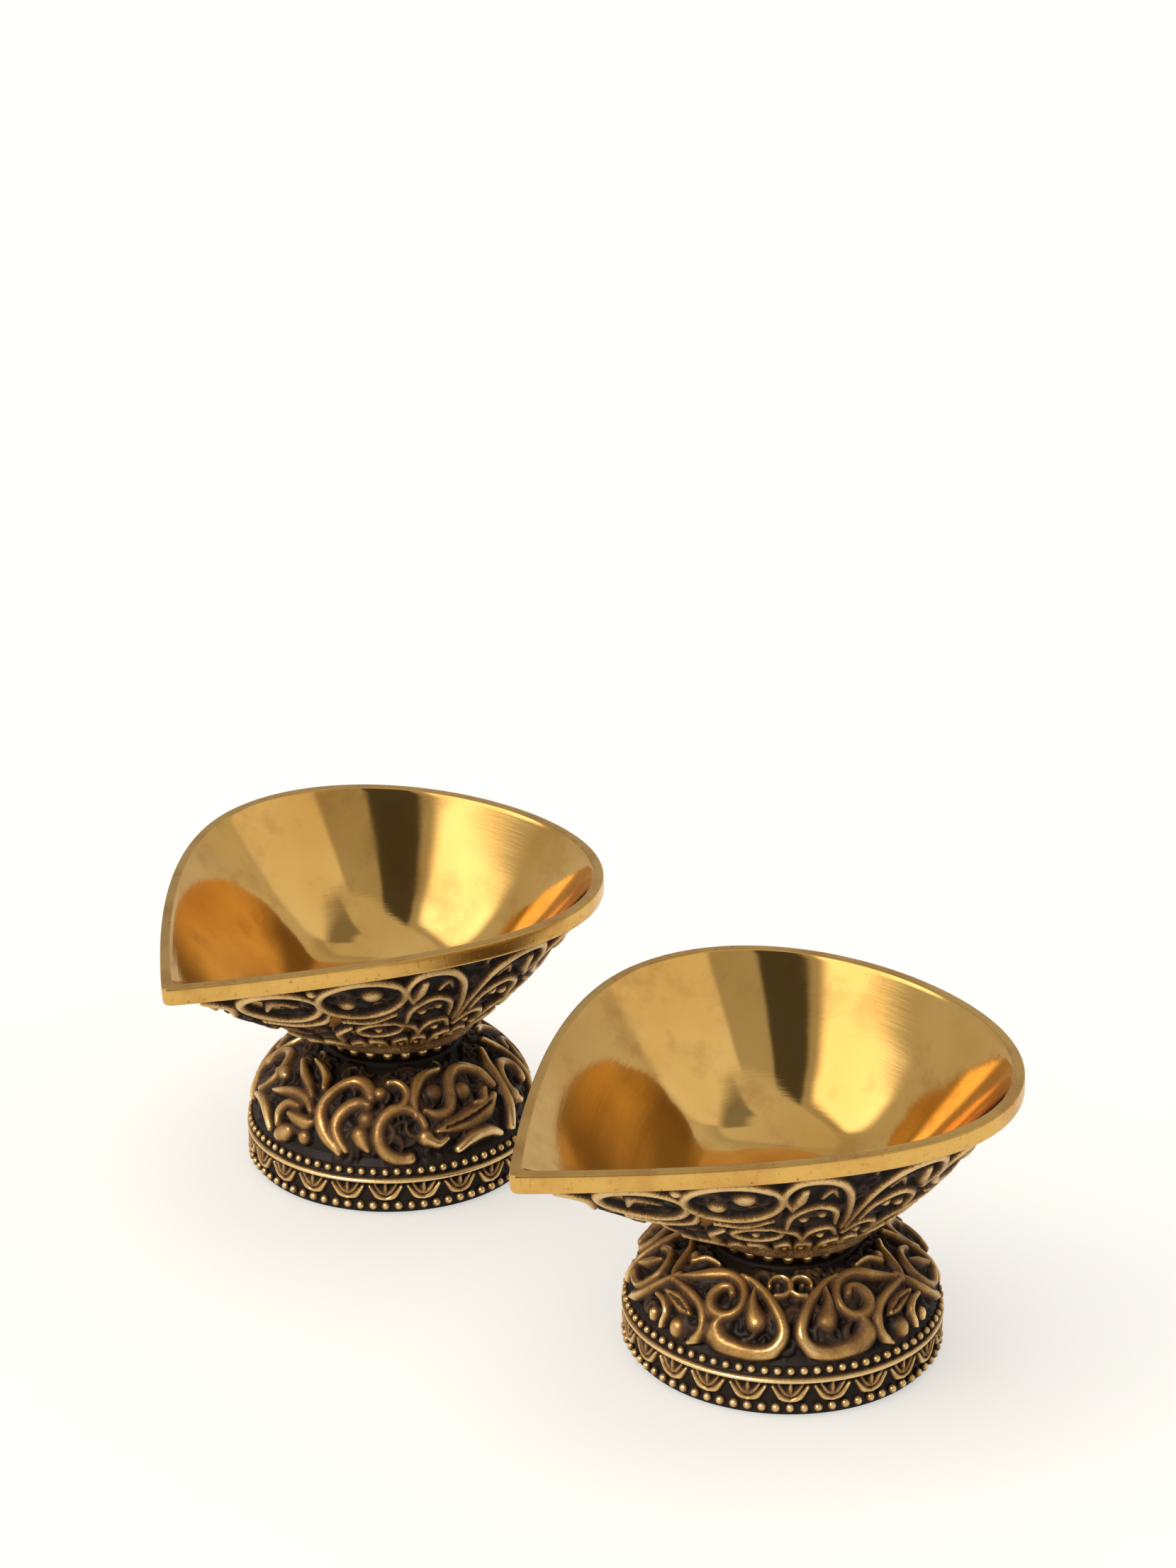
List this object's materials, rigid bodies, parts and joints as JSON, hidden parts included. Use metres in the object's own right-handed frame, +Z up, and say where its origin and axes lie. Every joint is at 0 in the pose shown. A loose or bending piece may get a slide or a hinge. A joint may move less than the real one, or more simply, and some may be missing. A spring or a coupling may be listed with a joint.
{
  "type": "footed oil lamp pair",
  "caption": "Pair of small footed brass oil lamps, each a polished spouted bowl on a beaded collar and a relief-cast hollow pedestal.",
  "frame": {"origin": "middle of the rectangle of table that the pair covers, on the table", "axes": "+Z up, +X to the right and -Y towards a person who faces the pair; the front lamp stands at +X -Y and the rear lamp at -X +Y, with both spouts pointing towards -X -Y"},
  "size_m": [0.1212, 0.1216, 0.0493],
  "materials": {
    "polished_brass": "mirror-polished cup, satin rim band",
    "antique_brass": "cast relief with dark patina in the hollows and rubbed ridges",
    "plated_steel": "dull zinc plating"
  },
  "bodies": {
    "front_lamp": {"front_bowl": "polished_brass", "front_beaded_collar": "antique_brass", "front_pedestal": "antique_brass", "front_tie_stud": "plated_steel", "front_washer": "plated_steel", "front_nut": "plated_steel"},
    "rear_lamp": {"rear_bowl": "polished_brass", "rear_beaded_collar": "antique_brass", "rear_pedestal": "antique_brass", "rear_tie_stud": "plated_steel", "rear_washer": "plated_steel", "rear_nut": "plated_steel"}
  },
  "joints": [
    {"name": "rear_lamp_lift", "type": "slide", "parent": "front_lamp", "child": "rear_lamp", "axis": [0, 0, 1], "range_m": [0, 0.08]}
  ]
}
